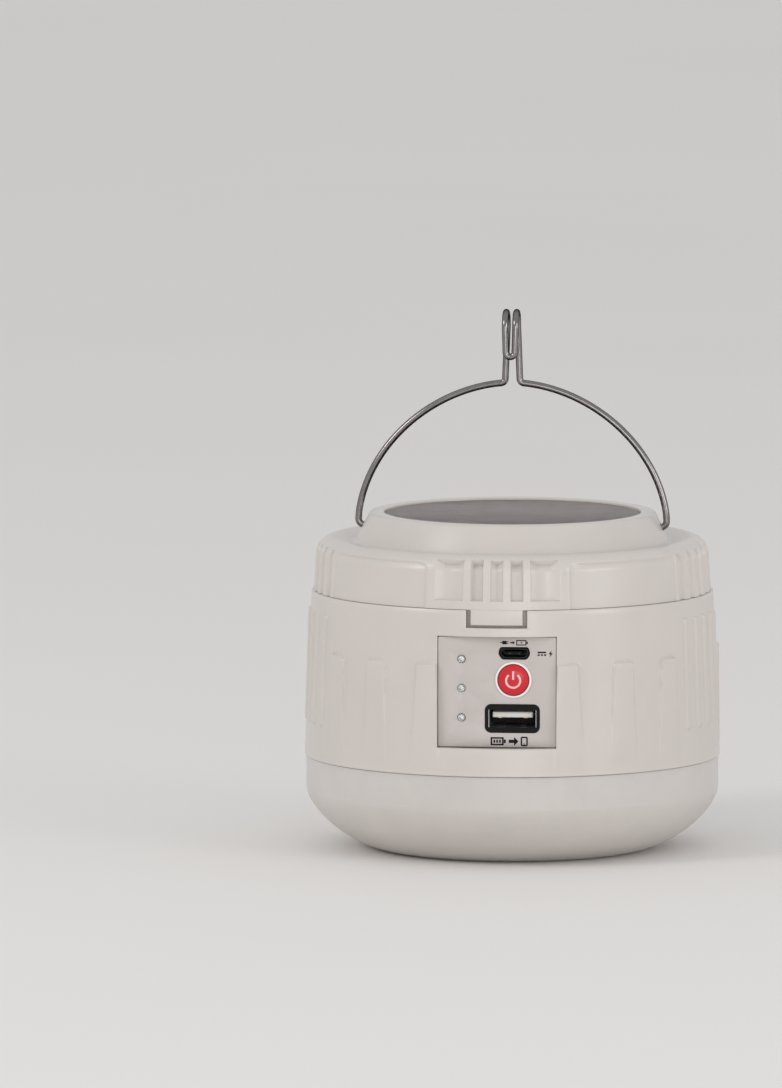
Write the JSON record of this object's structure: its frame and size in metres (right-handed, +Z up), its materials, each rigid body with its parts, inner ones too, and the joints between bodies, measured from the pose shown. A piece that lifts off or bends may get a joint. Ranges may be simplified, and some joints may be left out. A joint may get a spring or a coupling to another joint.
{
  "type": "solar lantern",
  "caption": "Round camping lantern with a solar lid, a wire bail with a hook, a frosted lower diffuser and a control panel with a power button and USB sockets.",
  "frame": {"origin": "middle of the flat the lantern stands on, at the diffuser's underside", "axes": "+Z up through the solar lid to the hook; the control panel faces -Y; +X is to the right seen from the front and is parallel to the bail's pivot"},
  "size_m": [0.1122, 0.1122, 0.146],
  "materials": {
    "white_abs": "moulded ABS, satin gloss",
    "panel_abs": "moulded ABS, fine matt texture",
    "frosted_diffuser": "frosted translucent polypropylene",
    "bail_steel": "nickel-plated steel wire",
    "screw_steel": "zinc-plated steel",
    "port_tin": "tinned steel",
    "nickel_strip": "nickel strip",
    "button_red": "glossy red cap",
    "black_plastic": "black moulding",
    "port_insert": "white insulator",
    "clear_led": "clear epoxy lens",
    "solar_cells": "dark polycrystalline silicon",
    "solar_pane": "clear epoxy pane",
    "foam_seal": "black foam tape",
    "board_green": "green solder mask",
    "lamp_board": "white solder mask on aluminium",
    "led_phosphor": "yellow phosphor chip",
    "cell_wrap": "shrink sleeve",
    "lead_red": "PVC insulation",
    "lead_black": "PVC insulation"
  },
  "bodies": {
    "lantern": {"battery_cell_1": "cell_wrap", "battery_cell_2": "cell_wrap", "battery_lead_black": "lead_black", "battery_lead_red": "lead_red", "battery_tray": "black_plastic", "board_header": "black_plastic", "board_screw_1": "screw_steel", "board_screw_2": "screw_steel", "cell_link_left": "nickel_strip", "cell_link_right": "nickel_strip", "charge_board": "board_green", "control_board": "board_green", "control_panel": "panel_abs", "controller_chip": "black_plastic", "cover_screw_1": "screw_steel", "cover_screw_2": "screw_steel", "cover_screw_3": "screw_steel", "diffuser": "frosted_diffuser", "housing": "white_abs", "indicator_led_1": "clear_led", "indicator_led_2": "clear_led", "indicator_led_3": "clear_led", "led_board": "lamp_board", "led_board_screw_1": "screw_steel", "led_board_screw_2": "screw_steel", "led_board_screw_3": "screw_steel", "led_chip_01": "led_phosphor", "led_chip_02": "led_phosphor", "led_chip_03": "led_phosphor", "led_chip_04": "led_phosphor", "led_chip_05": "led_phosphor", "led_chip_06": "led_phosphor", "led_chip_07": "led_phosphor", "led_chip_08": "led_phosphor", "led_chip_09": "led_phosphor", "led_chip_10": "led_phosphor", "led_lead_black": "lead_black", "led_lead_red": "lead_red", "micro_usb_insert": "black_plastic", "micro_usb_shell": "port_tin", "power_inductor": "black_plastic", "solar_backing": "lamp_board", "solar_cells": "solar_cells", "solar_lead_black": "lead_black", "solar_lead_red": "lead_red", "solar_pane": "solar_pane", "solar_seal": "foam_seal", "switch_body": "black_plastic", "top_cover": "white_abs", "tray_screw_1": "screw_steel", "tray_screw_2": "screw_steel", "usb_a_gasket": "black_plastic", "usb_a_insert": "port_insert", "usb_a_shell": "port_tin"},
    "bail": {"bail_handle": "bail_steel"},
    "button": {"power_button": "button_red", "switch_plunger": "black_plastic"}
  },
  "joints": [
    {"name": "bail_swing", "type": "hinge", "parent": "lantern", "child": "bail", "pos_m": [0, 0, 0.0868], "axis": [1, 0, 0], "range_deg": [-79, 79]},
    {"name": "power_press", "type": "slide", "parent": "lantern", "child": "button", "axis": [0, 1, 0], "range_m": [0, 0.0005], "stiffness_N_per_m": 600}
  ]
}
